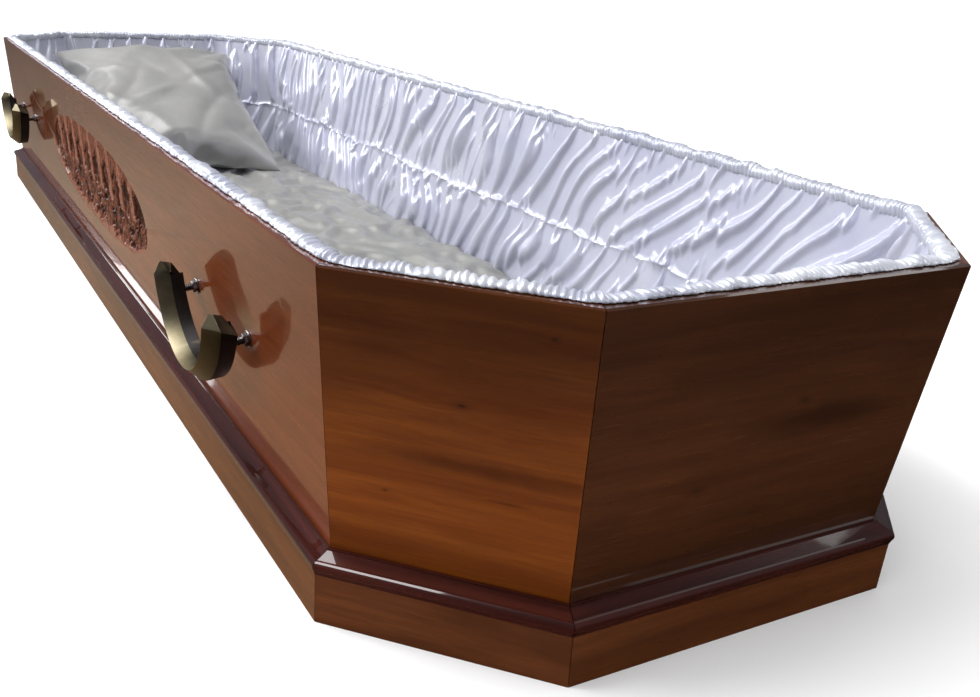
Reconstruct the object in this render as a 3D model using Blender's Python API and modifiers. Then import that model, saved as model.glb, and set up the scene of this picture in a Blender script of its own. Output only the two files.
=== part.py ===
"""Open eight-sided wooden coffin: leaning mitred boards on a plinth, cast handles, carved side panels and a satin lining.

Metres, +Z up. X runs across the coffin and +Y points to the head. The origin is on the floor under its middle.
"""

import math

import bmesh
import bpy
from mathutils import Matrix, Vector

# Plan and height. The plan is measured at the top of the moulding, and the rim leans out from there.
BASE_LENGTH = 1.940
BASE_WIDTH = 0.584
CORNER_CUT = 0.131
SIDE_LEAN = 0.031
END_LEAN = 0.0295
CORNER_LEAN = 0.0355
RIM_HEIGHT = 0.296
MOULDING_TOP = 0.0605

# Boards
BOARD_THICKNESS = 0.018
BOARD_LIFT = 0.002
RIM_CHAMFER = 0.0015
FLOOR_THICKNESS = 0.018
FLOOR_UNDERSIDE = 0.006
CLEARANCE = 0.0003

# Plinth and moulding
PLINTH_TOP_THICKNESS = 0.0166
PLINTH_FOOT_THICKNESS = 0.0200
MOULDING_HEIGHT = 0.017
MOULDING_PROJECTION = 0.0188
MOULDING_NOSE_RADIUS = 0.0050
MOULDING_BAND_DROP = 0.0040
MOULDING_FILLET_WIDTH = 0.0030
MOULDING_FILLET_HEIGHT = 0.0012
NOSE_STEPS = 6

# Carved oval on each side board
CARVING_LENGTH = 0.636
CARVING_HEIGHT = 0.136
CARVING_ABOVE_MOULDING = 0.118
CARVING_DEPTH = 0.0060
CARVING_SHALLOWEST = 0.0010
CARVING_ROUNDNESS = 2.4
OVAL_END = 0.9995
POST_COUNT = 9
POST_SPACING = 0.062
POST_WIDTH = 0.018
ROSE_COUNT = 12
ROSE_SPACING = 0.047
ROSE_RADIUS = 0.021
ROSE_RISE = 0.0046
LEAF_LENGTH = 0.034
LEAF_WIDTH = 0.014
LEAF_RISE = 0.0036
FLUTE_COUNT = 15

# Handles: a half ring with a ridged face, on two bolts. Its frame lies on the board, HANDLE_ABOVE_MOULDING up it
HANDLE_FROM_CORNER = 0.235
HANDLE_ABOVE_MOULDING = 0.1315
RING_HALF_WIDTH = 0.0831
RING_HALF_HEIGHT = 0.0900
RING_CENTRE_HEIGHT = 0.0313
RING_TILT = 0.05
ARM_TOP = 0.0060
ARM_STANDOFF = 0.0133
ARM_OUTER_DEPTH = 0.0150
ARM_INNER_DEPTH = 0.0127
ARM_RIDGE_DEPTH = 0.0277
BAR_INNER_WIDTH = 0.0024
BAR_OUTER_WIDTH = 0.0131
TIP_INNER_WIDTH = 0.0055
TIP_OUTER_WIDTH = 0.0153
TIP_SHOULDER_DROP = 0.0018
TIP_BACK_DROP = 0.0090
TIP_RISE = 0.0116
TIP_SLOPE_SET_BACK = 0.0074
TIP_ROOF_FRONT = 0.0036
TIP_ROOF_LENGTH = 0.0115
TIP_ROOF_FALL = 0.0042
HANDLE_STEPS = 16

# Bolts
BOLT_FROM_HANDLE_MIDDLE = 0.0783
BOLT_BELOW_FRAME = 0.0152
BOLT_RADIUS = 0.0035
BOLT_IN_BOARD = 0.0110
BOLT_IN_HANDLE = 0.0060
BOLT_SIDES = 10
WASHER_RADIUS = 0.0080
WASHER_THICKNESS = 0.0013
NUT_RADIUS = 0.0058
NUT_THICKNESS = 0.0040

# Gathered edge band, wall lining, mattress and pillow
RIM_REVEAL = 0.0045
BAND_RISE = 0.0080
BAND_DROP = 0.0125
BAND_FULLNESS = 0.0090
LINING_FULLNESS = 0.0140
LINING_PINCH = 0.0050
GATHER_HEIGHT = 0.148
MATTRESS_THICKNESS = 0.020
MATTRESS_EDGE_RADIUS = 0.006
PILLOW_NEAR_EDGE_FROM_HEAD = 0.440
PILLOW_FAR_EDGE_FROM_HEAD = 0.045
PILLOW_FAR_EDGE_BELOW_RIM = 0.030
PILLOW_THICKNESS = 0.095
PILLOW_EDGE_THICKNESS = 0.008
PILLOW_SIDE_CLEARANCE = 0.006
PILLOW_CUTS = 3

# Heights and depths that follow from the sizes above
INSIDE = BOARD_THICKNESS + CLEARANCE
FLOOR_TOP = FLOOR_UNDERSIDE + FLOOR_THICKNESS
MATTRESS_UNDERSIDE = FLOOR_TOP + CLEARANCE
MATTRESS_TOP = MATTRESS_UNDERSIDE + MATTRESS_THICKNESS
LINING_TOP = RIM_HEIGHT - BAND_DROP - CLEARANCE
PLINTH_TOP = MOULDING_TOP - MOULDING_HEIGHT - CLEARANCE
HALF_WIDTH = BASE_WIDTH / 2
HALF_LENGTH = BASE_LENGTH / 2
HALF_END = HALF_WIDTH - CORNER_CUT
HALF_SHOULDER = HALF_LENGTH - CORNER_CUT
HANDLE_FROM_MIDDLE = HALF_SHOULDER - HANDLE_FROM_CORNER

# The plan's corners, anticlockwise from above, and the panel that runs from each corner to the next
PLAN = [
    Vector((-HALF_WIDTH, -HALF_SHOULDER)),
    Vector((-HALF_END, -HALF_LENGTH)),
    Vector((HALF_END, -HALF_LENGTH)),
    Vector((HALF_WIDTH, -HALF_SHOULDER)),
    Vector((HALF_WIDTH, HALF_SHOULDER)),
    Vector((HALF_END, HALF_LENGTH)),
    Vector((-HALF_END, HALF_LENGTH)),
    Vector((-HALF_WIDTH, HALF_SHOULDER)),
]
PANELS = [
    ("corner_foot_left", CORNER_LEAN),
    ("foot", END_LEAN),
    ("corner_foot_right", CORNER_LEAN),
    ("side_right", SIDE_LEAN),
    ("corner_head_right", CORNER_LEAN),
    ("head", END_LEAN),
    ("corner_head_left", CORNER_LEAN),
    ("side_left", SIDE_LEAN),
]
SIDES = {"left": -1.0, "right": 1.0}
LEAN_RISE = RIM_HEIGHT - MOULDING_TOP

COLOURS = {
    "lacquered_wood": ((0.165, 0.055, 0.017), 0.16, 0.0),
    "dark_moulding": ((0.045, 0.010, 0.008), 0.10, 0.0),
    "floor_wood": ((0.36, 0.24, 0.13), 0.70, 0.0),
    "antique_brass": ((0.26, 0.22, 0.13), 0.34, 1.0),
    "steel": ((0.50, 0.50, 0.52), 0.30, 1.0),
    "white_satin": ((0.80, 0.80, 0.86), 0.35, 0.0),
}


def clear_scene():
    for old in list(bpy.data.objects):
        bpy.data.objects.remove(old, do_unlink=True)


def new_collection(name, hidden=False):
    collection = bpy.data.collections.new(name)
    collection.hide_render = hidden
    bpy.context.scene.collection.children.link(collection)
    return collection


def material(part_name, finish):
    """A material of its own for one part, in one of the finishes."""
    colour, roughness, metallic = COLOURS[finish]
    made = bpy.data.materials.new(f"{part_name}_{finish}")
    made.use_nodes = True
    shader = made.node_tree.nodes["Principled BSDF"]
    shader.inputs["Base Color"].default_value = (*colour, 1.0)
    shader.inputs["Roughness"].default_value = roughness
    shader.inputs["Metallic"].default_value = metallic
    made.diffuse_color = (*colour, 1.0)
    return made


def add_part(name, bm, finish, matrix=None, smooth_angle=None):
    """Makes a named object from a bmesh, with its own material, in the coffin's collection."""
    bm.normal_update()
    bmesh.ops.recalc_face_normals(bm, faces=bm.faces)
    mesh = bpy.data.meshes.new(name)
    bm.to_mesh(mesh)
    bm.free()
    if smooth_angle is not None:
        mesh.shade_smooth()
        mesh.set_sharp_from_angle(angle=smooth_angle)
    mesh.materials.append(material(name, finish))
    part = bpy.data.objects.new(name, mesh)
    coffin.objects.link(part)
    if matrix is not None:
        part.matrix_world = matrix
    return part


def add_cutter(name, bm, matrix):
    bm.normal_update()
    bmesh.ops.recalc_face_normals(bm, faces=bm.faces)
    mesh = bpy.data.meshes.new(name)
    bm.to_mesh(mesh)
    bm.free()
    cutter = bpy.data.objects.new(name, mesh)
    cutter.matrix_world = matrix
    cutter.hide_render = True
    cutter.display_type = "WIRE"
    cutters.objects.link(cutter)
    return cutter


def cut(part, cutter):
    modifier = part.modifiers.new(f"cut_by_{cutter.name}", "BOOLEAN")
    modifier.operation = "DIFFERENCE"
    modifier.solver = "EXACT"
    modifier.object = cutter


def outward(index):
    """Unit vector out of panel index, in plan."""
    run = (PLAN[(index + 1) % len(PLAN)] - PLAN[index]).normalized()
    return Vector((run.y, -run.x))


def panel_offset(index, outset, height):
    """Distance from the origin to panel index's plane at a height, outset metres outside its outer face."""
    lean = PANELS[index][1] / LEAN_RISE
    return PLAN[index].dot(outward(index)) + lean * (height - MOULDING_TOP) + outset


def corner(index, outset, height):
    """Where the panels before and after plan corner index meet, at that outset and height."""
    before = (index - 1) % len(PLAN)
    a, b = outward(before), outward(index)
    p, q = panel_offset(before, outset, height), panel_offset(index, outset, height)
    turn = a.x * b.y - a.y * b.x
    return Vector(((p * b.y - q * a.y) / turn, (q * a.x - p * b.x) / turn, height))


def ring(outset, height):
    return [corner(index, outset, height) for index in range(len(PLAN))]


def extrude_between(near, far):
    """A solid from the flat outline near to the like outline far."""
    bm = bmesh.new()
    start = [bm.verts.new(point) for point in near]
    ends = {tuple(vert.co): point for vert, point in zip(start, far)}
    made = bmesh.ops.extrude_face_region(bm, geom=[bm.faces.new(start)], use_keep_orig=True)
    for item in made["geom"]:
        if isinstance(item, bmesh.types.BMVert):
            item.co = ends[tuple(item.co)]
    return bm


def loft(sections, closed):
    """Quads between each section and the next. A closed loft joins the last to the first, and an open one has end faces."""
    bm = bmesh.new()
    rows = [[bm.verts.new(point) for point in section] for section in sections]
    count = len(rows[0])
    spans = len(rows) if closed else len(rows) - 1
    for row in range(spans):
        after = rows[(row + 1) % len(rows)]
        for k in range(count):
            j = (k + 1) % count
            bm.faces.new((rows[row][k], rows[row][j], after[j], after[k]))
    if not closed:
        bm.faces.new(rows[0])
        bm.faces.new(rows[-1])
    return bm


def mitred_bar(index, profile):
    """A bar along panel index, with mitred ends. Profile is a list of (outset, height), and each end stands clear by half the clearance."""
    near = [corner(index, outset, height) for outset, height in profile]
    far = [corner((index + 1) % len(PLAN), outset, height) for outset, height in profile]
    run = (far[0] - near[0]).normalized()
    return extrude_between([p + run * CLEARANCE for p in near], [p - run * CLEARANCE for p in far])


def board_profile():
    return [
        (0.0, BOARD_LIFT),
        (0.0, RIM_HEIGHT - RIM_CHAMFER),
        (-RIM_CHAMFER, RIM_HEIGHT),
        (-BOARD_THICKNESS, RIM_HEIGHT),
        (-BOARD_THICKNESS, BOARD_LIFT),
    ]


def plinth_profile():
    return [
        (CLEARANCE, 0.0),
        (PLINTH_FOOT_THICKNESS, 0.0),
        (PLINTH_TOP_THICKNESS, PLINTH_TOP),
        (CLEARANCE, PLINTH_TOP),
    ]


def moulding_profile():
    """A round nose, a gently sloping band and a small square fillet against the board."""
    bottom = MOULDING_TOP - MOULDING_HEIGHT
    nose_x = MOULDING_PROJECTION - MOULDING_NOSE_RADIUS
    nose_top = MOULDING_TOP - MOULDING_FILLET_HEIGHT - MOULDING_BAND_DROP
    nose_z = nose_top - MOULDING_NOSE_RADIUS
    points = [(CLEARANCE, bottom), (nose_x + 0.6 * MOULDING_NOSE_RADIUS, bottom)]
    for step in range(NOSE_STEPS + 1):
        angle = math.radians(-35 + 125 * step / NOSE_STEPS)
        points.append((nose_x + MOULDING_NOSE_RADIUS * math.cos(angle), nose_z + MOULDING_NOSE_RADIUS * math.sin(angle)))
    points.append((MOULDING_FILLET_WIDTH, MOULDING_TOP - MOULDING_FILLET_HEIGHT))
    points.append((MOULDING_FILLET_WIDTH, MOULDING_TOP))
    points.append((CLEARANCE, MOULDING_TOP))
    return points


def side_frame(side, along, above_moulding):
    """Frame on a side board's outer face: X out of the board, Y along it, Z up it."""
    sign = SIDES[side]
    lean = SIDE_LEAN / LEAN_RISE
    up = Vector((sign * lean, 0.0, 1.0)).normalized()
    out = Vector((sign, 0.0, -lean)).normalized()
    run = up.cross(out)
    origin = Vector((sign * HALF_WIDTH, along, MOULDING_TOP)) + up * above_moulding
    return Matrix.Translation(origin) @ Matrix((out, run, up)).transposed().to_4x4()


def bump(distance, reach):
    """1 in the middle, falling smoothly to 0 at reach."""
    return max(0.0, 1.0 - (distance / reach) ** 2)


def rose_rise(along, up):
    """Height of the row of roses and leaves above the carving's ground."""
    best = 0.0
    for k in range(ROSE_COUNT):
        x = (k - (ROSE_COUNT - 1) / 2) * ROSE_SPACING
        z = CARVING_HEIGHT * (-0.17 + 0.11 * (-1) ** k)
        dx, dz = along - x, up - z
        petals = 0.80 + 0.20 * math.cos(5 * math.atan2(dz, dx) + k)
        best = max(best, ROSE_RISE * petals * bump(math.hypot(dx, dz), ROSE_RADIUS))
        for tilt, lift in ((0.9, 0.19), (-0.9, 0.19), (0.5, -0.16)):
            lx = dx - ROSE_SPACING / 2 * math.copysign(1, tilt)
            lz = dz - CARVING_HEIGHT * lift
            run = lx * math.cos(tilt) + lz * math.sin(tilt)
            off = -lx * math.sin(tilt) + lz * math.cos(tilt)
            leaf = bump(run, LEAF_LENGTH / 2) * bump(off, LEAF_WIDTH / 2)
            best = max(best, LEAF_RISE * leaf)
    return best


def post_rise(along, up):
    """Height of the row of posts that stands behind the roses."""
    if up < -0.05 * CARVING_HEIGHT:
        return 0.0
    nearest = round(along / POST_SPACING)
    if abs(nearest) > POST_COUNT // 2:
        return 0.0
    across = abs(along - nearest * POST_SPACING)
    return (CARVING_DEPTH - CARVING_SHALLOWEST) if across < POST_WIDTH / 2 else 0.0


def garden_depth(along, up):
    """Depth of the left carving below the board's face: posts above, roses and leaves below, and a bare sloping foot."""
    foot = min(1.0, max(0.0, (-up / CARVING_HEIGHT - 0.30) / 0.20))
    ground = CARVING_DEPTH * (1 - foot) + CARVING_SHALLOWEST * 2 * foot
    rise = max(rose_rise(along, up), post_rise(along, up))
    return max(CARVING_SHALLOWEST, ground - rise)


def flute_depth(along, up):
    """Depth of the right carving: plain upright flutes."""
    phase = along / CARVING_LENGTH * FLUTE_COUNT
    return CARVING_SHALLOWEST + (CARVING_DEPTH - CARVING_SHALLOWEST) * abs(math.sin(math.pi * phase)) * 0.8


def carving_columns(side):
    """Places along the oval, from -1 to 1, where the cutter's surface has points."""
    if side == "right":
        return [-1 + k / FLUTE_COUNT for k in range(2 * FLUTE_COUNT + 1)]
    half = CARVING_LENGTH / 2
    edges = {round(k * POST_SPACING / half, 5) for k in range(-(POST_COUNT // 2), POST_COUNT // 2 + 1)}
    slope = 0.0012
    places = set()
    for middle in edges:
        for shift in (-POST_WIDTH / 2 - slope, -POST_WIDTH / 2 + slope, 0.0, POST_WIDTH / 2 - slope, POST_WIDTH / 2 + slope):
            places.add(round(middle + shift / half, 5))
    between = POST_SPACING - POST_WIDTH
    for middle in sorted(edges)[:-1]:
        for share in (0.2, 0.4, 0.6, 0.8):
            places.add(round(middle + (POST_WIDTH / 2 + between * share) / half, 5))
    outer = max(places)
    while outer < 0.985:
        outer += (1 - outer) * 0.30
        places |= {round(outer, 5), round(-outer, 5)}
    return sorted(places | {-1.0, 1.0})


def carving_cutter(side, rows, depth_at):
    """The oval's hollow as a solid: its inner surface is the carving, and its outer one stands clear of the board."""
    columns = [max(-OVAL_END, min(OVAL_END, place)) for place in carving_columns(side)]
    clear = CARVING_DEPTH
    bm = bmesh.new()
    bmesh.ops.create_grid(bm, x_segments=len(columns) - 1, y_segments=rows, size=1.0)
    for vert in bm.verts:
        place = columns[round((vert.co.x + 1) / 2 * (len(columns) - 1))]
        share = vert.co.y
        half_height = CARVING_HEIGHT / 2 * (1 - abs(place) ** CARVING_ROUNDNESS) ** (1 / CARVING_ROUNDNESS)
        along, up = place * CARVING_LENGTH / 2, share * half_height
        at_edge = abs(share) > 0.999 or abs(place) > OVAL_END - 0.001
        vert.co = (clear if at_edge else -depth_at(along, up), along, up)
    made = bmesh.ops.extrude_face_region(bm, geom=bm.faces[:], use_keep_orig=True)
    for item in made["geom"]:
        if isinstance(item, bmesh.types.BMVert):
            item.co.x = 2 * clear
    return add_cutter(f"carving_{side}", bm, side_frame(side, 0.0, CARVING_ABOVE_MOULDING))


def bolt_places(side):
    """(name, frame on the board's face) of each bolt on one side."""
    places = []
    for end, sign in (("foot", -1.0), ("head", 1.0)):
        for label, shift in (("outer", 1.0), ("inner", -1.0)):
            along = sign * (HANDLE_FROM_MIDDLE + shift * BOLT_FROM_HANDLE_MIDDLE)
            frame = side_frame(side, along, HANDLE_ABOVE_MOULDING - BOLT_BELOW_FRAME)
            places.append((f"{side}_{end}_{label}", frame))
    return places


def cylinder_along_x(radius, start, end):
    """Cylinder about the local X axis, between two distances from the board's face."""
    bm = bmesh.new()
    turn = Matrix.Rotation(math.pi / 2, 4, "Y")
    place = Matrix.Translation(((start + end) / 2, 0.0, 0.0)) @ turn
    bmesh.ops.create_cone(
        bm, cap_ends=True, segments=BOLT_SIDES, radius1=radius, radius2=radius, depth=end - start, matrix=place
    )
    return bm


def build_boards():
    boards = {}
    for index, (name, _) in enumerate(PANELS):
        label = f"{name}_board"
        boards[name] = add_part(label, mitred_bar(index, board_profile()), "lacquered_wood")
    for side in SIDES:
        board = boards[f"side_{side}"]
        rows, depth_at = (16, garden_depth) if side == "left" else (6, flute_depth)
        cut(board, carving_cutter(side, rows, depth_at))
        for name, frame in bolt_places(side):
            hole = cylinder_along_x(BOLT_RADIUS + CLEARANCE, -BOLT_IN_BOARD - CLEARANCE, BOLT_IN_BOARD)
            cut(board, add_cutter(f"board_hole_{name}", hole, frame))


def build_base():
    for index, (name, _) in enumerate(PANELS):
        add_part(f"{name}_plinth", mitred_bar(index, plinth_profile()), "lacquered_wood")
        add_part(f"{name}_moulding", mitred_bar(index, moulding_profile()), "dark_moulding")
    floor = extrude_between(ring(-INSIDE, FLOOR_UNDERSIDE), ring(-INSIDE, FLOOR_TOP))
    add_part("floor_board", floor, "floor_wood")


def arm_section(middle, away, inner, outer):
    """Five corners of the handle's bar at a point of its ridge line. Away points out of the ring, in the board's plane."""
    out = Vector((1.0, 0.0, 0.0))
    back = middle + out * ARM_STANDOFF
    return [
        back - away * inner,
        back + away * outer,
        back + away * outer + out * ARM_OUTER_DEPTH,
        back + out * ARM_RIDGE_DEPTH,
        back - away * inner + out * ARM_INNER_DEPTH,
    ]


def handle_sections():
    """Sections of the bar from one tip round the drop to the other. The bar is widest at its tips."""
    start = math.asin((RING_CENTRE_HEIGHT - ARM_TOP) / RING_HALF_HEIGHT)
    low = RING_CENTRE_HEIGHT - RING_HALF_HEIGHT
    sections = []
    for step in range(HANDLE_STEPS + 1):
        angle = start + (math.pi - 2 * start) * step / HANDLE_STEPS
        y = -RING_HALF_WIDTH * math.cos(angle)
        z = RING_CENTRE_HEIGHT - RING_HALF_HEIGHT * math.sin(angle)
        away = Vector((0.0, -math.cos(angle) * RING_HALF_HEIGHT, -math.sin(angle) * RING_HALF_WIDTH)).normalized()
        if step in (0, HANDLE_STEPS):
            away = Vector((0.0, math.copysign(1.0, y), 0.0))
        share = ((z - low) / (ARM_TOP - low)) ** 2
        inner = BAR_INNER_WIDTH + (TIP_INNER_WIDTH - BAR_INNER_WIDTH) * share
        outer = BAR_OUTER_WIDTH + (TIP_OUTER_WIDTH - BAR_OUTER_WIDTH) * share
        sections.append(arm_section(Vector((RING_TILT * (ARM_TOP - z), y, z)), away, inner, outer))
    for section in (sections[0], sections[-1]):
        section[0].z -= TIP_BACK_DROP
        section[1].z -= TIP_BACK_DROP
        section[2].z -= TIP_SHOULDER_DROP
    return sections


def handle_bar():
    """The bar, with a tip on each arm whose front slopes back to a short roof line that falls towards the board."""
    sections = handle_sections()
    bm = loft(sections, closed=False)
    tips = [face for face in bm.faces if len(face.verts) == 5]
    for tip in tips:
        section = min((sections[0], sections[-1]), key=lambda points: (points[3] - tip.verts[0].co).length)
        back_in, back_out, side_out, ridge, side_in = (
            min(tip.verts, key=lambda vert, point=point: (vert.co - point).length) for point in section
        )
        away = math.copysign(1.0, ridge.co.y)
        front = ridge.co + Vector((-TIP_SLOPE_SET_BACK, away * 0.15 * TIP_SLOPE_SET_BACK, TIP_RISE))
        fall = Vector((-TIP_ROOF_LENGTH, 0.0, -TIP_ROOF_FALL))
        shares = (0.0, TIP_ROOF_FRONT / TIP_ROOF_LENGTH, 1.0)
        roof_front, roof_middle, roof_back = (bm.verts.new(front + fall * share) for share in shares)
        bm.faces.remove(tip)
        for loop in (
            (side_out, ridge, roof_front, roof_middle),
            (back_out, side_out, roof_middle, roof_back),
            (back_in, back_out, roof_back),
            (side_in, back_in, roof_back),
            (ridge, side_in, roof_back, roof_middle, roof_front),
        ):
            bm.faces.new(loop)
    return bm


def bolt_profile():
    """(distance from the axis, distance out of the board) down the bolt's outer side, from its tip in the handle."""
    washer_top = CLEARANCE + WASHER_THICKNESS
    nut_top = washer_top + NUT_THICKNESS
    return [
        (0.0, ARM_STANDOFF + BOLT_IN_HANDLE),
        (BOLT_RADIUS, ARM_STANDOFF + BOLT_IN_HANDLE),
        (BOLT_RADIUS, nut_top),
        (NUT_RADIUS, nut_top),
        (NUT_RADIUS, washer_top),
        (WASHER_RADIUS, washer_top),
        (WASHER_RADIUS, CLEARANCE),
        (BOLT_RADIUS, CLEARANCE),
        (BOLT_RADIUS, -BOLT_IN_BOARD),
        (0.0, -BOLT_IN_BOARD),
    ]


def build_bolt(name, frame):
    """A turned bolt with its nut and washer, standing out of the board."""
    bm = bmesh.new()
    points = [bm.verts.new((radius, 0.0, height)) for radius, height in bolt_profile()]
    for start, end in zip(points, points[1:]):
        bm.edges.new((start, end))
    mesh = bpy.data.meshes.new(name)
    bm.to_mesh(mesh)
    bm.free()
    mesh.materials.append(material(name, "steel"))
    bolt = bpy.data.objects.new(name, mesh)
    coffin.objects.link(bolt)
    bolt.matrix_world = frame @ Matrix.Rotation(math.pi / 2, 4, "Y")
    turn = bolt.modifiers.new("turn", "SCREW")
    turn.steps = turn.render_steps = BOLT_SIDES
    turn.use_merge_vertices = True
    turn.merge_threshold = 0.0001
    turn.use_smooth_shade = False


def build_handles():
    for side in SIDES:
        bolts = bolt_places(side)
        for end, sign in (("foot", -1.0), ("head", 1.0)):
            name = f"handle_{side}_{end}"
            frame = side_frame(side, sign * HANDLE_FROM_MIDDLE, HANDLE_ABOVE_MOULDING)
            handle = add_part(name, handle_bar(), "antique_brass", frame)
            for bolt_name, bolt_frame in bolts:
                if f"_{end}_" not in bolt_name:
                    continue
                socket = cylinder_along_x(
                    BOLT_RADIUS + CLEARANCE, ARM_STANDOFF - BOLT_IN_HANDLE, ARM_STANDOFF + BOLT_IN_HANDLE + CLEARANCE
                )
                cut(handle, add_cutter(f"handle_socket_{bolt_name}", socket, bolt_frame))
        for bolt_name, bolt_frame in bolts:
            build_bolt(f"bolt_{bolt_name}", bolt_frame)


def build_band():
    """The gathered band over the boards' top edge, hanging a little way down inside."""
    crown = [
        (-RIM_REVEAL, RIM_HEIGHT + CLEARANCE),
        (-RIM_REVEAL - 0.15 * BOARD_THICKNESS, RIM_HEIGHT + 0.75 * BAND_RISE),
        (-RIM_REVEAL - 0.40 * BOARD_THICKNESS, RIM_HEIGHT + BAND_RISE),
        (-INSIDE, RIM_HEIGHT + 0.85 * BAND_RISE),
        (-INSIDE - 0.75 * BAND_FULLNESS, RIM_HEIGHT + 0.35 * BAND_RISE),
        (-INSIDE - BAND_FULLNESS, RIM_HEIGHT - 0.35 * BAND_DROP),
        (-INSIDE - 0.8 * BAND_FULLNESS, RIM_HEIGHT - 0.9 * BAND_DROP),
        (-INSIDE, RIM_HEIGHT - BAND_DROP),
        (-INSIDE, RIM_HEIGHT + CLEARANCE),
    ]
    sections = [[corner(index, outset, height) for outset, height in crown] for index in range(len(PLAN))]
    add_part("edge_band", loft(sections, closed=True), "white_satin", smooth_angle=math.radians(50))


def lining_profile():
    """Gathered under the band, again at mid height, and loose at the floor."""
    pinch, full = -INSIDE - LINING_PINCH, -INSIDE - LINING_FULLNESS
    upper = (LINING_TOP + GATHER_HEIGHT) / 2
    lower = (GATHER_HEIGHT + MATTRESS_TOP) / 2
    return [
        (-INSIDE, LINING_TOP),
        (pinch, LINING_TOP),
        (full, upper),
        (pinch, GATHER_HEIGHT),
        (full, lower),
        (full, MATTRESS_UNDERSIDE),
        (-INSIDE, MATTRESS_UNDERSIDE),
    ]


def build_lining():
    profile = lining_profile()
    sections = [[corner(index, outset, height) for outset, height in profile] for index in range(len(PLAN))]
    add_part("wall_lining", loft(sections, closed=True), "white_satin", smooth_angle=math.radians(50))


def build_mattress():
    inset = -INSIDE - LINING_FULLNESS - CLEARANCE
    slab = extrude_between(ring(inset, MATTRESS_UNDERSIDE), ring(inset, MATTRESS_TOP))
    mattress = add_part("mattress", slab, "white_satin", smooth_angle=math.radians(50))
    edge = mattress.modifiers.new("soft_edge", "BEVEL")
    edge.width = MATTRESS_EDGE_RADIUS
    edge.segments = 2
    edge.limit_method = "ANGLE"
    edge.angle_limit = math.radians(60)


def inner_half_width(along, height):
    """Half the clear width inside the lining near the head, at a distance along the coffin and a height."""
    inset = -INSIDE - LINING_FULLNESS
    side = panel_offset(3, inset, height)
    diagonal = panel_offset(4, inset, height)
    slant = outward(4)
    return min(side, (diagonal - slant.y * along) / slant.x)


def build_pillow():
    """A soft square pillow, low at its near edge and propped against the head wall."""
    head = panel_offset(5, -INSIDE - LINING_FULLNESS, RIM_HEIGHT - PILLOW_FAR_EDGE_BELOW_RIM)
    near = Vector((0.0, head - PILLOW_NEAR_EDGE_FROM_HEAD, MATTRESS_TOP + PILLOW_EDGE_THICKNESS))
    far = Vector((0.0, head - PILLOW_FAR_EDGE_FROM_HEAD, RIM_HEIGHT - PILLOW_FAR_EDGE_BELOW_RIM))
    run = far - near
    half_width = inner_half_width(far.y, far.z) - PILLOW_SIDE_CLEARANCE
    bm = bmesh.new()
    bmesh.ops.create_cube(bm, size=2.0)
    bmesh.ops.subdivide_edges(bm, edges=bm.edges[:], cuts=PILLOW_CUTS, use_grid_fill=True)
    for vert in bm.verts:
        u, v, layer = vert.co
        swell = ((1 - u * u) * (1 - v * v)) ** 0.45
        pull = 1 - 0.05 * (1 - u * u) * abs(v) - 0.05 * (1 - v * v) * abs(u)
        thickness = PILLOW_EDGE_THICKNESS + (PILLOW_THICKNESS - PILLOW_EDGE_THICKNESS) * swell
        rise = max(0.0, layer) * thickness * 0.8 + min(0.0, layer) * thickness * 0.2
        vert.co = (u * half_width * pull, v * run.length / 2 * pull, rise)
    tilt = Matrix.Rotation(math.atan2(run.z, run.y), 4, "X")
    place = Matrix.Translation((near + far) / 2) @ tilt
    pillow = add_part("pillow", bm, "white_satin", place, smooth_angle=math.radians(60))
    soften = pillow.modifiers.new("soften", "SUBSURF")
    soften.levels = soften.render_levels = 1


clear_scene()
coffin = new_collection("coffin")
cutters = new_collection("cutters", hidden=True)
build_boards()
build_base()
build_handles()
build_band()
build_lining()
build_mattress()
build_pillow()
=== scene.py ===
"""Looks of the open eight-sided coffin: lacquered wood, cast handles, carved ovals and a satin lining."""

import math

import bmesh
import bpy
import numpy as np
from mathutils import Matrix, Vector


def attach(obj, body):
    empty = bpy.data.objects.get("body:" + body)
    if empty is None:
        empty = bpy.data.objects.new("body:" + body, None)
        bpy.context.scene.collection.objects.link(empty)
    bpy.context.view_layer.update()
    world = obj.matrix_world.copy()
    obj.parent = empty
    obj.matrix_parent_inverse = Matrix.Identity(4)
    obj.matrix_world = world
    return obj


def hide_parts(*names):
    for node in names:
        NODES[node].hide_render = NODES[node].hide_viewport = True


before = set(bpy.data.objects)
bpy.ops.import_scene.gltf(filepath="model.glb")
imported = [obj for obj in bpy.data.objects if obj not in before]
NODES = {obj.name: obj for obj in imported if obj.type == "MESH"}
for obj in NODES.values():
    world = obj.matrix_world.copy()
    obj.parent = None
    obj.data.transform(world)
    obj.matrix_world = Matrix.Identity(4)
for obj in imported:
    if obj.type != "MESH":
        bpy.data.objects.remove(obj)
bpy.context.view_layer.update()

# Sizes of the solids, in metres, as in the part's source
HALF_WIDTH = 0.292
HALF_LENGTH = 0.970
CORNER_CUT = 0.131
SIDE_LEAN = 0.031
END_LEAN = 0.0295
CORNER_LEAN = 0.0355
RIM_HEIGHT = 0.296
MOULDING_TOP = 0.0605
LEAN_RISE = RIM_HEIGHT - MOULDING_TOP
BOARD_THICKNESS = 0.018
BOARD_LIFT = 0.002
MITRE_GAP = 0.0003
INSIDE = BOARD_THICKNESS + 0.0003
MATTRESS_TOP = 0.0443
GATHER_HEIGHT = 0.148
CARVING_LENGTH = 0.636
HALF_CARVING = CARVING_LENGTH / 2
CARVING_HEIGHT = 0.136
POST_SPACING = 0.062
CARVING_ABOVE_MOULDING = 0.118
CARVING_ROUNDNESS = 2.4
HANDLE_FROM_MIDDLE = 0.604
HANDLE_ABOVE_MOULDING = 0.1315
SIDES = {"left": -1.0, "right": 1.0}

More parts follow.
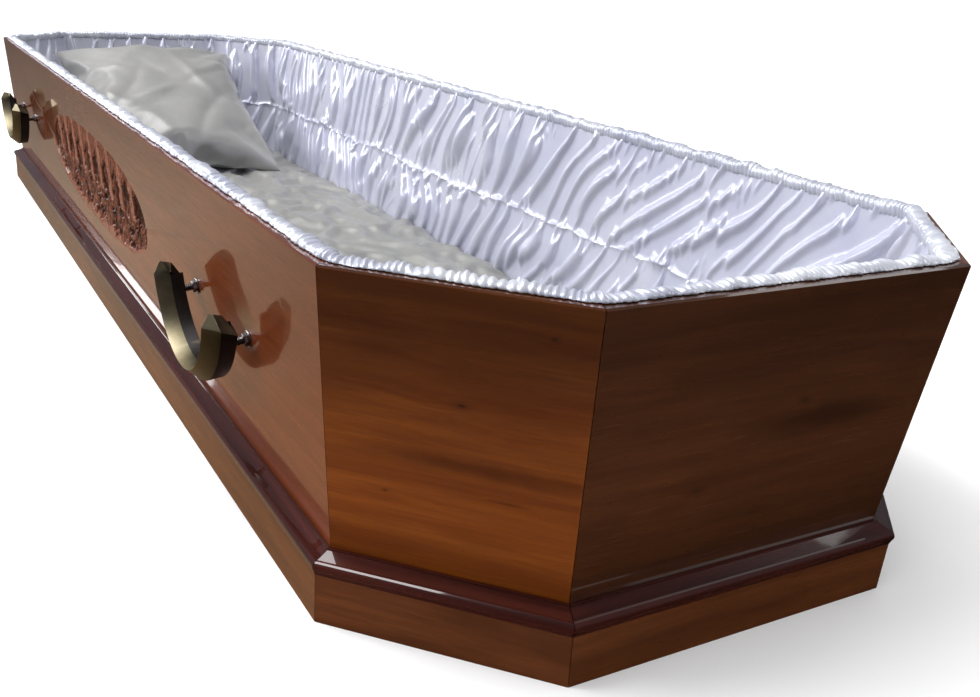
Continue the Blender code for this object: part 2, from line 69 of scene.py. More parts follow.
HALF_END = HALF_WIDTH - CORNER_CUT
HALF_SHOULDER = HALF_LENGTH - CORNER_CUT
FOOT_CORNERS = [
    Vector((-HALF_WIDTH, -HALF_SHOULDER)),
    Vector((-HALF_END, -HALF_LENGTH)),
    Vector((HALF_END, -HALF_LENGTH)),
    Vector((HALF_WIDTH, -HALF_SHOULDER)),
]
PLAN = FOOT_CORNERS + [-place for place in FOOT_CORNERS]
PANELS = [
    ("corner_foot_left", CORNER_LEAN),
    ("foot", END_LEAN),
    ("corner_foot_right", CORNER_LEAN),
    ("side_right", SIDE_LEAN),
    ("corner_head_right", CORNER_LEAN),
    ("head", END_LEAN),
    ("corner_head_left", CORNER_LEAN),
    ("side_left", SIDE_LEAN),
]


# Geometry helpers


def outward(index):
    run = (PLAN[(index + 1) % 8] - PLAN[index]).normalized()
    return Vector((run.y, -run.x))


def corner(index, outset, height):
    """Where the panels before and after a plan corner meet, at that outset and height."""
    before = (index - 1) % 8
    a, b = outward(before), outward(index)
    p, q = (
        PLAN[panel].dot(outward(panel)) + PANELS[panel][1] / LEAN_RISE * (height - MOULDING_TOP) + outset
        for panel in (before, index)
    )
    turn = a.x * b.y - a.y * b.x
    return Vector(((p * b.y - q * a.y) / turn, (q * a.x - p * b.x) / turn, height))


def axes_at(origin, *axes):
    return Matrix.Translation(origin) @ Matrix(axes).transposed().to_4x4()


def side_frame(side, along, above_moulding):
    """Frame on a side board's outer face: X out of the board, Y along it, Z up it."""
    sign = SIDES[side]
    lean = SIDE_LEAN / LEAN_RISE
    up = Vector((sign * lean, 0.0, 1.0)).normalized()
    out = Vector((sign, 0.0, -lean)).normalized()
    run = up.cross(out)
    origin = Vector((sign * HALF_WIDTH, along, MOULDING_TOP)) + up * above_moulding
    return axes_at(origin, out, run, up)


def in_scene(name, data):
    made = bpy.data.objects.new(name, data)
    bpy.context.scene.collection.objects.link(made)
    return made


def new_object(name, vertices, faces, smooth=True):
    mesh = bpy.data.meshes.new(name)
    mesh.from_pydata([tuple(v) for v in vertices], [], [tuple(f) for f in faces])
    mesh.update()
    if smooth:
        mesh.shade_smooth()
    return in_scene(name, mesh)


def smooth_but_for(mesh, degrees):
    """Smooth shading, with an edge kept sharp where its faces turn by more than this."""
    mesh.shade_smooth()
    mesh.set_sharp_from_angle(angle=math.radians(degrees))


def from_bmesh(name, bm, sharp):
    bm.normal_update()
    bmesh.ops.recalc_face_normals(bm, faces=bm.faces)
    mesh = bpy.data.meshes.new(name)
    bm.to_mesh(mesh)
    bm.free()
    smooth_but_for(mesh, sharp)
    return in_scene(name, mesh)


def bevelled(node, name, width, angle):
    bevel = node.modifiers.new(name, "BEVEL")
    bevel.width = width
    bevel.segments = 2
    bevel.limit_method = "ANGLE"
    bevel.angle_limit = math.radians(angle)


def stand_for(piece, node, material=None):
    """Puts a piece in the place of its solid."""
    if material:
        paint(piece, material)
    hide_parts(node)
    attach(piece, "root")


def grid_faces(rows, columns, wrap_columns=False):
    """Quads of a grid of rows x columns points, numbered row by row."""
    r = np.arange(rows - 1)[:, None]
    c = np.arange(columns if wrap_columns else columns - 1)[None, :]
    n = (c + 1) % columns
    here, below = r * columns, (r + 1) * columns
    return np.stack([here + c, here + n, below + n, below + c], -1).reshape(-1, 4)


def border_of(rows, columns):
    """The points round such a grid's border, in order."""
    loop = list(range(columns))
    loop += [row * columns + columns - 1 for row in range(1, rows)]
    loop += [(rows - 1) * columns + k for k in range(columns - 2, -1, -1)]
    return loop + [row * columns for row in range(rows - 2, 0, -1)]


def smooth_noise(shape, cells, seed, wrap=False):
    """Smooth random numbers from -1 to 1 on a grid, with about that many cells each way."""
    rng = np.random.default_rng(seed)
    rows, columns = cells
    coarse = rng.uniform(-1, 1, (rows + 3, columns + (0 if wrap else 3)))
    y = np.linspace(0, rows, shape[0], endpoint=True)
    x = np.linspace(0, columns, shape[1], endpoint=not wrap)

    def weights(t):
        f = t - np.floor(t)
        return np.stack([(1 - f) ** 3, 3 * f**3 - 6 * f**2 + 4, -3 * f**3 + 3 * f**2 + 3 * f + 1, f**3]) / 6

    wx, wy = weights(x), weights(np.where(y >= rows, rows - 1e-9, y))
    ix, iy = np.floor(x).astype(int), np.minimum(np.floor(y).astype(int), rows - 1)
    out = np.zeros(shape)
    for j in range(4):
        for k in range(4):
            cols = (ix + k) % columns if wrap else np.minimum(ix + k, columns + 2)
            out += wy[j][:, None] * wx[k][None, :] * coarse[(iy + j)][:, cols]
    return out


# Materials


class Graph:
    """Short calls for the nodes of one material or world."""

    def __init__(self, owner, shader, space):
        owner.use_nodes = True
        self.owner = owner
        self.tree = owner.node_tree
        self.shader = self.tree.nodes[shader]
        self.place = self.add("ShaderNodeTexCoord").outputs[space]

    def add(self, kind, inputs=None, **settings):
        node = self.tree.nodes.new(kind)
        for key, value in settings.items():
            setattr(node, key, value)
        for key, value in (inputs or {}).items():
            self.feed(node.inputs[key], value)
        return node

    def feed(self, socket, value):
        if isinstance(value, bpy.types.NodeSocket):
            self.tree.links.new(value, socket)
        else:
            socket.default_value = value

    def mapping(self, scale=(1, 1, 1), rotation=(0, 0, 0), location=(0, 0, 0), vector=None):
        inputs = {"Vector": vector or self.place, "Scale": scale, "Rotation": rotation, "Location": location}
        return self.add("ShaderNodeMapping", inputs).outputs[0]

    def noise(self, scale, detail=4.0, roughness=0.55, vector=None, distortion=0.0):
        inputs = {"Vector": vector or self.place, "Scale": scale, "Detail": detail}
        inputs |= {"Roughness": roughness, "Distortion": distortion}
        return self.add("ShaderNodeTexNoise", inputs).outputs["Fac"]

    def ramp(self, value, stops):
        node = self.add("ShaderNodeValToRGB", {"Fac": value})
        ramp = node.color_ramp
        while len(ramp.elements) < len(stops):
            ramp.elements.new(0.5)
        for element, (position, colour) in zip(ramp.elements, stops):
            element.position = position
            element.color = (*colour, 1.0)
        return node.outputs["Color"]

    def span(self, value, low, high, to_low=0.0, to_high=1.0):
        inputs = {"Value": value, "From Min": low, "From Max": high, "To Min": to_low, "To Max": to_high}
        return self.add("ShaderNodeMapRange", inputs).outputs["Result"]

    def math(self, operation, a, b):
        return self.add("ShaderNodeMath", {0: a, 1: b}, operation=operation).outputs[0]

    def vector(self, operation, *values, result="Vector"):
        node = self.add("ShaderNodeVectorMath", dict(enumerate(values)), operation=operation)
        return node.outputs[result]

    def mix(self, share, a, b, blend="MIX"):
        node = self.add("ShaderNodeMix", data_type="RGBA", blend_type=blend)
        self.feed(node.inputs[0], share)
        for socket, value in ((node.inputs[6], a), (node.inputs[7], b)):
            self.feed(socket, value if isinstance(value, bpy.types.NodeSocket) else (*value, 1.0))
        return node.outputs[2]

    def bump(self, height, strength, distance, normal=None):
        inputs = {"Height": height, "Strength": strength, "Distance": distance}
        if normal is not None:
            inputs["Normal"] = normal
        return self.add("ShaderNodeBump", inputs).outputs[0]

    def set(self, **values):
        for key, value in values.items():
            self.feed(self.shader.inputs[key.replace("_", " ")], value)
        return self.owner


def paint_graph(name):
    return Graph(bpy.data.materials.new(name), "Principled BSDF", "Object")


def paint(node, material):
    node.data.materials.clear()
    node.data.materials.append(material)


def shaded(colour, share):
    return tuple(share * value for value in colour)


def wood(name, turn, tones, seed, knots=(), streaks=(), carved=False, shade_by_height=((0, 1.0), (1, 1.0)), coat=1.0):
    """Lacquered board. turn is the run's angle from the X axis, and tones are its light and dark.

    Knots are (x, y, z, size) in metres, and streaks are (x, y, z, length, height, tilt).
    """
    light, dark = tones
    g = paint_graph(name)
    flat = g.mapping(rotation=(0, 0, -turn), location=(seed * 3.1, seed * 1.7, seed))

    def drawn(run, across):
        return g.mapping((run, across, across), vector=flat)

    warp = g.noise(2.2, 3.0, vector=drawn(1.2, 6.0))
    bent = g.vector("ADD", drawn(1.6, 34.0), g.mix(1.0, (0, 0, 0), warp))
    grain = g.noise(1.9, 7.0, 0.62, vector=bent, distortion=0.5)
    fine = g.noise(9.0, 4.0, 0.7, vector=drawn(2.4, 62.0))
    cloud = g.noise(3.2, 3.0, vector=drawn(1.0, 2.2))
    middle = tuple(0.5 * (a + b) for a, b in zip(light, dark))
    colour = g.ramp(grain, [(0.32, dark), (0.52, middle), (0.72, light)])
    colour = g.mix(g.span(fine, 0.42, 0.72, 0.0, 0.55), colour, shaded(dark, 0.7))
    colour = g.mix(g.span(cloud, 0.35, 0.70, 0.0, 0.55), colour, shaded(dark, 0.62))
    for x, y, z, length, height, tilt in streaks:
        away = g.vector("SUBTRACT", g.place, (x, y, z))
        level = g.mapping(rotation=(0, 0, -turn), vector=away)
        tipped = g.mapping((1 / length, 0.0, 1 / height), rotation=(0, tilt, 0), vector=level)
        size = g.vector("LENGTH", tipped, result="Value")
        ragged = g.math("ADD", size, g.math("MULTIPLY", g.noise(38.0, 3.0), 0.7))
        colour = g.mix(g.span(ragged, 1.35, 0.55, 0.0, 0.72), colour, shaded(dark, 0.42))
    for x, y, z, size in knots:
        away = g.vector("SUBTRACT", g.place, (x, y, z))
        turned = g.mapping((1.0, 1.0, 2.3), rotation=(0, 0, -turn), vector=away)
        wobble = g.math("MULTIPLY", g.noise(60.0, 3.0), size * 0.8)
        distance = g.math("ADD", g.vector("LENGTH", turned, result="Value"), wobble)
        ring = g.span(distance, size * 2.6, size * 0.9, 0.0, 0.50)
        heart = g.span(distance, size * 1.2, size * 0.5, 0.0, 0.85)
        colour = g.mix(heart, g.mix(ring, colour, shaded(dark, 0.55)), (0.020, 0.006, 0.003))
    rough = g.span(fine, 0.3, 0.7, 0.26, 0.36)
    waves = g.noise(3.0, 2.0, vector=drawn(3.0, 14.0))
    normal = g.bump(fine, 0.04, 0.0004, g.bump(waves, 0.10, 0.002))
    coat_normal = g.bump(g.noise(9.0, 2.0), 0.05, 0.002)
    # Painted shade: the colour is multiplied by greys that change with height, darkest towards the board's
    # top.
    height = g.add("ShaderNodeSeparateXYZ", {0: g.place}).outputs["Z"]
    uneven = g.math("ADD", height, g.math("MULTIPLY", g.noise(3.2, 3.0), 0.09))
    tone = g.ramp(g.span(uneven, 0.09, 0.35), [(place, (grey,) * 3) for place, grey in shade_by_height])
    colour = g.mix(1.0, colour, tone, "MULTIPLY")
    if carved:
        depth = g.add("ShaderNodeAttribute", attribute_name="carved_depth").outputs["Fac"]
        inside = g.add("ShaderNodeAttribute", attribute_name="carved").outputs["Fac"]
        # Painted shade in the recesses: the carving runs from light red-brown where it stands high to near
        # black where it is cut deepest.
        painted_recess_shade = [(0.10, (0.270, 0.105, 0.062)), (0.42, (0.120, 0.034, 0.018)), (0.80, (0.014, 0.004, 0.002))]
        relief = g.ramp(depth, painted_recess_shade)
        mottle = g.noise(420.0, 3.0)
        relief = g.mix(g.span(mottle, 0.42, 0.62, 0.0, 0.65), relief, (0.050, 0.011, 0.005))
        colour = g.mix(inside, colour, relief)
        g.set(Coat_Weight=g.span(inside, 0.0, 1.0, 1.0, 0.30))
    else:
        g.set(Coat_Weight=coat)
    g.set(
        Base_Color=colour, Roughness=rough, Normal=normal, Coat_Roughness=0.04, Coat_IOR=1.5,
        Coat_Normal=coat_normal, Specular_IOR_Level=0.15,
    )
    return g.owner


def satin(name, tint=(0.66, 0.67, 0.77), shade=(0.52, 0.53, 0.66), shine=0.35, rough=0.27):
    """Satin, a mix of two tints, with a metal's share of shine, fine creases and a faint weave."""
    g = paint_graph(name)
    cloud = g.noise(9.0, 3.0)
    colour = g.mix(g.span(cloud, 0.35, 0.70), tint, shade)
    creases = g.noise(75.0, 3.0, 0.55, vector=g.mapping((1.0, 1.0, 0.35)), distortion=0.4)
    weave = g.noise(1500.0, 1.0)
    normal = g.bump(creases, 0.10, 0.004)
    normal = g.bump(weave, 0.05, 0.0003, normal)
    g.set(
        Base_Color=colour, Metallic=shine, Roughness=g.span(cloud, 0.3, 0.7, rough, rough + 0.07),
        Normal=normal, IOR=1.6, Specular_IOR_Level=0.9, Sheen_Weight=0.12, Sheen_Roughness=0.4,
        Anisotropic=0.3,
    )
    return g.owner


def moulding_paint(name, turn, seed):
    """Very glossy dark red-brown lacquer with a hint of grain under it."""
    g = paint_graph(name)
    flat = g.mapping(rotation=(0, 0, -turn), location=(seed, seed * 2.0, 0))
    grain = g.noise(2.0, 5.0, vector=g.mapping((2.0, 60.0, 60.0), vector=flat))
    colour = g.ramp(grain, [(0.30, (0.022, 0.0045, 0.0035)), (0.75, (0.062, 0.0125, 0.0085))])
    normal = g.bump(g.noise(14.0, 2.0), 0.10, 0.002)
    g.set(
        Base_Color=colour, Roughness=g.span(grain, 0.3, 0.7, 0.20, 0.28), Coat_Weight=1.0,
        Coat_Roughness=0.03, Coat_IOR=1.6, Coat_Normal=normal, IOR=1.5, Specular_IOR_Level=0.12,
    )
    return g.owner


def brass(name):
    """Antique brass: brown in the hollows and rubbed bright along the edges."""
    g = paint_graph(name)
    wear = g.noise(30.0, 5.0, 0.6)
    fine = g.noise(300.0, 4.0, 0.6)
    edge = g.add("ShaderNodeNewGeometry").outputs["Pointiness"]
    worn = g.span(edge, 0.505, 0.56)
    share = g.math("ADD", g.math("MULTIPLY", wear, 0.55), g.math("MULTIPLY", worn, 0.75))
    metal = [(0.15, (0.045, 0.037, 0.020)), (0.38, (0.088, 0.076, 0.044)), (0.85, (0.36, 0.31, 0.20))]
    colour = g.ramp(share, metal)
    normal = g.bump(fine, 0.06, 0.0005)
    normal = g.bump(g.noise(16.0, 2.0), 0.06, 0.003, normal)
    g.set(
        Base_Color=colour, Metallic=1.0, Roughness=g.span(wear, 0.25, 0.75, 0.34, 0.48), Normal=normal,
        Coat_Weight=0.15, Coat_Roughness=0.22,
    )
    return g.owner


def dark_brass(name):
    """Near-black lacquer over brass, rubbed a little at its edges."""
    g = paint_graph(name)
    wear = g.noise(60.0, 5.0, 0.65)
    edge = g.add("ShaderNodeNewGeometry").outputs["Pointiness"]
    share = g.math("ADD", g.math("MULTIPLY", wear, 0.6), g.math("MULTIPLY", g.span(edge, 0.51, 0.58), 0.5))
    metal = [(0.32, (0.0035, 0.0025, 0.0020)), (0.55, (0.010, 0.006, 0.004)), (0.95, (0.090, 0.065, 0.035))]
    colour = g.ramp(share, metal)
    g.set(
        Base_Color=colour, Metallic=0.3, Roughness=g.span(wear, 0.25, 0.75, 0.30, 0.48),
        Normal=g.bump(g.noise(240.0, 3.0), 0.08, 0.0006), Specular_IOR_Level=0.35,
    )
    return g.owner


def steel(name):
    g = paint_graph(name)
    wear = g.noise(160.0, 4.0, 0.6)
    g.set(
        Base_Color=g.ramp(wear, [(0.30, (0.32, 0.32, 0.33)), (0.75, (0.62, 0.62, 0.62))]), Metallic=1.0,
        Roughness=g.span(wear, 0.25, 0.75, 0.20, 0.36), Normal=g.bump(wear, 0.05, 0.0004),
    )
    return g.owner


def bare_wood(name):
    g = paint_graph(name)
    grain = g.noise(2.0, 6.0, vector=g.mapping((30.0, 1.6, 30.0)))
    g.set(
        Base_Color=g.ramp(grain, [(0.30, (0.24, 0.15, 0.075)), (0.75, (0.46, 0.32, 0.18))]),
        Roughness=g.span(grain, 0.3, 0.7, 0.62, 0.78), Normal=g.bump(grain, 0.15, 0.001),
    )
    return g.owner


# Woodwork


def run_angle(index):
    run = PLAN[(index + 1) % 8] - PLAN[index]
    return math.atan2(run.y, run.x)


PLAIN_BOARD = ((0.230, 0.075, 0.019), (0.105, 0.031, 0.009))
# Painted shade for the plain boards: darkened to 0.8 at their tops.
PLAIN_SHADE_BY_HEIGHT = ((0, 1.0), (1, 0.8))
PLINTH_TONES = ((0.165, 0.048, 0.012), (0.080, 0.022, 0.006))
# Light and dark wood tones per board. The foot board's are made far darker than the others as painted shade,
# and the near foot corner's lighter and more orange as painted light.
BOARD_TONES_AND_PAINTED_LIGHT = {
    "corner_foot_left": ((0.300, 0.080, 0.006), (0.150, 0.030, 0.0015)),
    "foot": ((0.088, 0.026, 0.007), (0.050, 0.014, 0.004)),
    "side_left": ((0.215, 0.048, 0.010), (0.120, 0.024, 0.005)),
}
# Painted shade by height: grey stops from low on each board (0) to its top (1), darkest towards the top.
PAINTED_SHADE_BY_HEIGHT = {
    "corner_foot_left": ((0.0, 0.62), (0.22, 1.0), (0.48, 0.76), (0.80, 0.34), (1.0, 0.27)),
    "foot": ((0.0, 0.75), (0.35, 1.1), (0.65, 1.0), (1.0, 0.62)),
    "side_left": ((0.0, 1.05), (0.5, 1.0), (1.0, 0.70)),
}
KNOTS = {
    "corner_foot_left": [
        (-0.2370, -0.9251, 0.2065, 0.0050),
        (-0.2009, -0.9745, 0.2688, 0.0030),
        (-0.2676, -0.8769, 0.1236, 0.0022),
    ],
    "foot": [(-0.0607, -0.9793, 0.1351, 0.0070), (0.0298, -0.9872, 0.1976, 0.0045)],
}
STREAKS = {
    "corner_foot_left": [
        (-0.2213, -0.9305, 0.1577, 0.120, 0.011, -0.40),
        (-0.2050, -0.9414, 0.1337, 0.020, 0.0018, 0.05),
    ],
    "foot": [(0.060, -0.985, 0.180, 0.110, 0.016, 0.12)],
}


def soften(node, width):
    bevelled(node, "softened_edges", width, 28)
    smooth_but_for(node.data, 35)


def run_of(index):
    """The board's five-sided section at both mitred ends."""
    profile = [
        (0.0, BOARD_LIFT),
        (0.0, RIM_HEIGHT - 0.0015),
        (-0.0015, RIM_HEIGHT),
        (-BOARD_THICKNESS, RIM_HEIGHT),
        (-BOARD_THICKNESS, BOARD_LIFT),
    ]
    near = [corner(index, outset, height) for outset, height in profile]
    far = [corner((index + 1) % 8, outset, height) for outset, height in profile]
    run = (far[0] - near[0]).normalized() * MITRE_GAP
    return [p + run for p in near], [p - run for p in far]


def oval_net(columns, rows):
    """Points of the carved oval as (along, up), denser towards its ends."""
    t = np.linspace(-1, 1, columns)
    place = np.clip(0.6 * t + 0.4 * np.sin(math.pi * t / 2), -0.9995, 0.9995)
    half = CARVING_HEIGHT / 2 * (1 - np.abs(place) ** CARVING_ROUNDNESS) ** (1 / CARVING_ROUNDNESS)
    share = np.linspace(-1, 1, rows)
    up = share[:, None] * half[None, :]
    along = np.broadcast_to(place * CARVING_LENGTH / 2, up.shape)
    return along, up, half


def carved_board(name, side, net, depth):
    """A side board whose oval is carved to the given depths, with the colour data that its material reads."""
    along, up, _ = net
    rows, columns = along.shape
    matrix = side_frame(side, 0.0, CARVING_ABOVE_MOULDING)
    near, far = run_of(7 if side == "left" else 3)
    bm = bmesh.new()
    n = [bm.verts.new(p) for p in near]
    f = [bm.verts.new(p) for p in far]
    bm.faces.new(n)
    bm.faces.new(f)
    for k in range(1, 5):
        j = (k + 1) % 5
        bm.faces.new((n[k], n[j], f[j], f[k]))
    local = np.stack([-depth, along, up, np.ones_like(up)], -1).reshape(-1, 4)
    places = (local @ np.array(matrix).T)[:, :3]
    points = [bm.verts.new(p) for p in places.tolist()]
    for quad in grid_faces(rows, columns).tolist():
        bm.faces.new([points[k] for k in quad])
    loop = border_of(rows, columns)
    edges = [bm.edges.get((points[a], points[b])) for a, b in zip(loop, loop[1:] + loop[:1])]
    edges += [bm.edges.get((n[0], n[1])) or bm.edges.new((n[0], n[1])), bm.edges.get((n[1], f[1]))]
    edges += [bm.edges.get((f[0], f[1])), bm.edges.get((f[0], n[0]))]
    bmesh.ops.triangle_fill(bm, edges=edges, use_beauty=True)
    made = from_bmesh(name, bm, sharp=40)
    border = {10 + k for k in loop}
    for edge in made.data.edges:
        if edge.vertices[0] in border and edge.vertices[1] in border:
            edge.use_edge_sharp = True
    flat = np.zeros(len(made.data.vertices), np.float32)
    shown = made.data.attributes.new("carved_depth", "FLOAT", "POINT")
    mask = made.data.attributes.new("carved", "FLOAT", "POINT")
    flat[10:] = (depth / 0.006).reshape(-1)
    shown.data.foreach_set("value", flat)
    flat[10:] = np.clip(depth / 0.0006, 0, 1).reshape(-1)
    flat[sorted(border)] = 0.0
    mask.data.foreach_set("value", flat)
    return made


def dome(distance, reach):
    return np.clip(1 - (distance / reach) ** 2, 0, None)


def garden(net):
    """Depths of the left oval: fluted posts and hangings above, and roses, leaves and berries below."""
    along, up, half = net
    height = CARVING_HEIGHT
    foot = np.clip((-up / height - 0.30) / 0.20, 0, 1)
    ground = 0.006 * (1 - foot) + 0.002 * foot
    above = up > -0.05 * height
    nearest = np.clip(np.round(along / POST_SPACING), -4, 4)
    across = along - nearest * POST_SPACING + 0.0015 * np.sin(up / 0.004)
    flute = 0.86 + 0.14 * np.abs(np.cos(math.pi * across / 0.0060))
    post = np.where((np.abs(across) < 0.009) & above, 0.0050 * flute, 0.0)
    capital = np.where((np.abs(across) < 0.0115) & (up > 0.030) & (up < 0.036), 0.0050, 0.0)
    base = np.where((np.abs(across) < 0.0110) & (up > -0.004) & (up < 0.002), 0.0048, 0.0)
    rise = np.maximum.reduce([np.zeros_like(ground), post, capital, base])
    sway = 0.006 * np.sin(along / 0.021 + 1.3) * (up / height)
    folds = 0.0011 * (1 + np.cos(2 * math.pi * (along + sway) / 0.0078)) * (up > -0.01)
    swag = np.abs(((along + 0.031) / POST_SPACING) % 1 - 0.5) * 2
    hem = 0.026 + 0.018 * swag**2
    hanging = np.where(up > hem, 0.0028 + 0.5 * folds, folds * 0.8)
    rise = np.maximum(rise, np.where(above, hanging, 0.0))
    rng = np.random.default_rng(5)
    for k in range(12):
        x = (k - 5.5) * 0.047
        z = height * (-0.17 + 0.11 * (-1) ** k)
        dx, dz = along - x, up - z
        away = np.hypot(dx, dz)
        turn = np.arctan2(dz, dx)
        petals = 0.80 + 0.20 * np.cos(5 * turn + k)
        swirl = 0.5 + 0.5 * np.cos(3 * turn - 420 * away + k)
        rose = 0.0050 * petals * dome(away, 0.021) ** 0.7 * (0.66 + 0.34 * swirl)
        rise = np.maximum(rise, rose)
        for tilt, lift in ((0.9, 0.19), (-0.9, 0.19), (0.5, -0.16), (-0.5, -0.18), (1.3, 0.05)):
            lx = dx - 0.0235 * math.copysign(1, tilt)
            lz = dz - height * lift
            run = lx * math.cos(tilt) + lz * math.sin(tilt)
            off = -lx * math.sin(tilt) + lz * math.cos(tilt)
            leaf = dome(run, 0.017) * dome(off, 0.007)
            vein = 0.72 + 0.28 * np.abs(np.sin((np.abs(off) * 1.2 + run) / 0.0019))
            rise = np.maximum(rise, 0.0044 * leaf**0.6 * vein * np.clip(np.abs(off) / 0.0008 + 0.55, 0, 1))
    for _ in range(330):
        x = rng.uniform(-0.30, 0.30)
        z = rng.uniform(-0.48, -0.02) * height * (1 - (abs(x) / HALF_CARVING) ** CARVING_ROUNDNESS) ** 0.42
        size = rng.uniform(0.0016, 0.0040)
        near = (np.abs(along - x) < size) & (np.abs(up - z) < size)
        berry = dome(np.hypot(along - x, up - z), size) ** 0.5
        rise = np.maximum(rise, np.where(near, 0.0022 + size * 0.55 * berry, 0) * (berry > 0))
    grit = smooth_noise(up.shape, (34, 190), 7) + 0.6 * smooth_noise(up.shape, (60, 330), 8)
    depth = np.maximum(ground - rise + 0.0011 * grit, 0.0005)
    edge_top = np.clip((half[None, :] - up) / 0.0035, 0, 1)
    edge_low = np.clip((half[None, :] + up) / 0.0090, 0, 1)
    ends = np.clip((HALF_CARVING - np.abs(along)) / 0.004, 0, 1)
    depth = depth * np.minimum(edge_top, ends) ** 0.5 * (edge_low**2 * (3 - 2 * edge_low))
    return depth


def flutes(net):
    """Depths of the right oval: plain upright flutes."""
    along, up, half = net
    wave = np.abs(np.sin(math.pi * along / CARVING_LENGTH * 15))
    depth = 0.001 + 0.004 * wave
    edge = np.clip((half[None, :] - np.abs(up)) / 0.003, 0, 1)
    ends = np.clip((HALF_CARVING - np.abs(along)) / 0.004, 0, 1)
    return depth * np.minimum(edge, ends) ** 0.5


def build_boards():
    for index, (name, _) in enumerate(PANELS):
        turn = run_angle(index)
        side = name.removeprefix("side_") if name.startswith("side_") else None
        if side:
            cells, carve = ((540, 104), garden) if side == "left" else ((420, 26), flutes)
            net = oval_net(*cells)
            board = carved_board(f"carved_board_{side}", side, net, carve(net))
            stand_for(board, f"{name}_board")
        else:
            board = NODES[f"{name}_board"]
            soften(board, 0.0008)
        tones, shade_by_height = BOARD_TONES_AND_PAINTED_LIGHT.get(name, PLAIN_BOARD), PAINTED_SHADE_BY_HEIGHT.get(name, PLAIN_SHADE_BY_HEIGHT)
        marks = KNOTS.get(name, ()), STREAKS.get(name, ())
        paint(board, wood(f"{name}_lacquer", turn, tones, index + 1, *marks, side is not None, shade_by_height))
        plinth = NODES[f"{name}_plinth"]
        paint(plinth, wood(f"{name}_plinth_lacquer", turn, PLINTH_TONES, index + 11, coat=0.55))
        soften(plinth, 0.0012)
        moulding = NODES[f"{name}_moulding"]
        paint(moulding, moulding_paint(f"{name}_moulding_lacquer", turn, index + 21))
        smooth_but_for(moulding.data, 35)
        moulding.modifiers.new("even_normals", "WEIGHTED_NORMAL").keep_sharp = True
    paint(NODES["floor_board"], bare_wood("floor_bare_wood"))


build_boards()


# Handles and bolts


ARC_REACH, ARC_DROP = 0.0831, 0.0900
ARC_TOP, TIP_LEVEL = 0.0313, 0.0060
BOLT_FROM_HANDLE = 0.0783
BOLT_BELOW_HANDLE = 0.0152


def handle_points(steps):
    """Sections of the bar from tip to tip.

    Each runs back inner, back outer, outer shoulder, ridge and inner shoulder.
    """
    out = np.array([1.0, 0.0, 0.0])
    start = math.asin((ARC_TOP - TIP_LEVEL) / ARC_DROP)
    rows = []
    for step in range(steps + 1):
        angle = start + (math.pi - 2 * start) * step / steps
        y, z = -ARC_REACH * math.cos(angle), ARC_TOP - ARC_DROP * math.sin(angle)
        away = np.array([0.0, -math.cos(angle) * ARC_DROP, -math.sin(angle) * ARC_REACH])
        away /= np.linalg.norm(away)
        if step in (0, steps):
            away = np.array([0.0, math.copysign(1.0, y), 0.0])
        share = ((z + 0.0587) / 0.0647) ** 2
        inner, outer = 0.0024 + 0.0031 * share, 0.0131 + 0.0022 * share
        back = np.array([0.05 * (TIP_LEVEL - z) + 0.0133, y, z])
        low, high = back - away * inner, back + away * outer
        rows.append([low, high, high + out * 0.0150, back + out * 0.0277, low + out * 0.0127])
    for row in (rows[0], rows[-1]):
        row[0][2] -= 0.0090
        row[1][2] -= 0.0090
        row[2][2] -= 0.0018
    return rows


def build_handle(name, side, along):
    bm = bmesh.new()
    rows = [[bm.verts.new(p) for p in row] for row in handle_points(56)]
    for row, after in zip(rows, rows[1:]):
        for k in range(5):
            j = (k + 1) % 5
            face = bm.faces.new((row[k], row[j], after[j], after[k]))
            face.material_index = 0 if k in (2, 3) else 1
            face.smooth = True
    for row, away in ((rows[0], -1.0), (rows[-1], 1.0)):
        back_in, back_out, side_out, ridge, side_in = row
        front = ridge.co + Vector((-0.0074, away * 0.0011, 0.0116))
        fall = Vector((-0.0115, 0.0, -0.0042))
        roof_front, roof_middle, roof_back = (bm.verts.new(front + fall * part) for part in (0.0, 0.313, 1.0))
        for loop, tone in (
            ((side_out, ridge, roof_front, roof_middle), 0),
            ((ridge, side_in, roof_back, roof_middle, roof_front), 0),
            ((back_out, side_out, roof_middle, roof_back), 1),
            ((back_in, back_out, roof_back), 1),
            ((side_in, back_in, roof_back), 1),
        ):
            bm.faces.new(loop).material_index = tone
    bm.transform(side_frame(side, along, HANDLE_ABOVE_MOULDING))
    handle = from_bmesh(name, bm, sharp=38)
    for metal in ("brass", "dark"):
        handle.data.materials.append(METALS[metal])
    bevelled(handle, "worn_edges", 0.0007, 24)
    return handle


def lathe(bm, profile, sides, matrix):
    """Turns (radius, distance) points about the X axis. The first and last points have no radius."""
    ends = [bm.verts.new(matrix @ Vector((x, 0, 0))) for _, x in (profile[0], profile[-1])]
    angles = [2 * math.pi * k / sides for k in range(sides)]
    rings = [
        [bm.verts.new(matrix @ Vector((x, radius * math.cos(a), radius * math.sin(a)))) for a in angles]
        for radius, x in profile[1:-1]
    ]
    for k in range(sides):
        j = (k + 1) % sides
        bm.faces.new((ends[0], rings[0][k], rings[0][j]))
        bm.faces.new((ends[1], rings[-1][j], rings[-1][k]))
        for one, two in zip(rings, rings[1:]):
            bm.faces.new((one[k], two[k], two[j], one[j]))


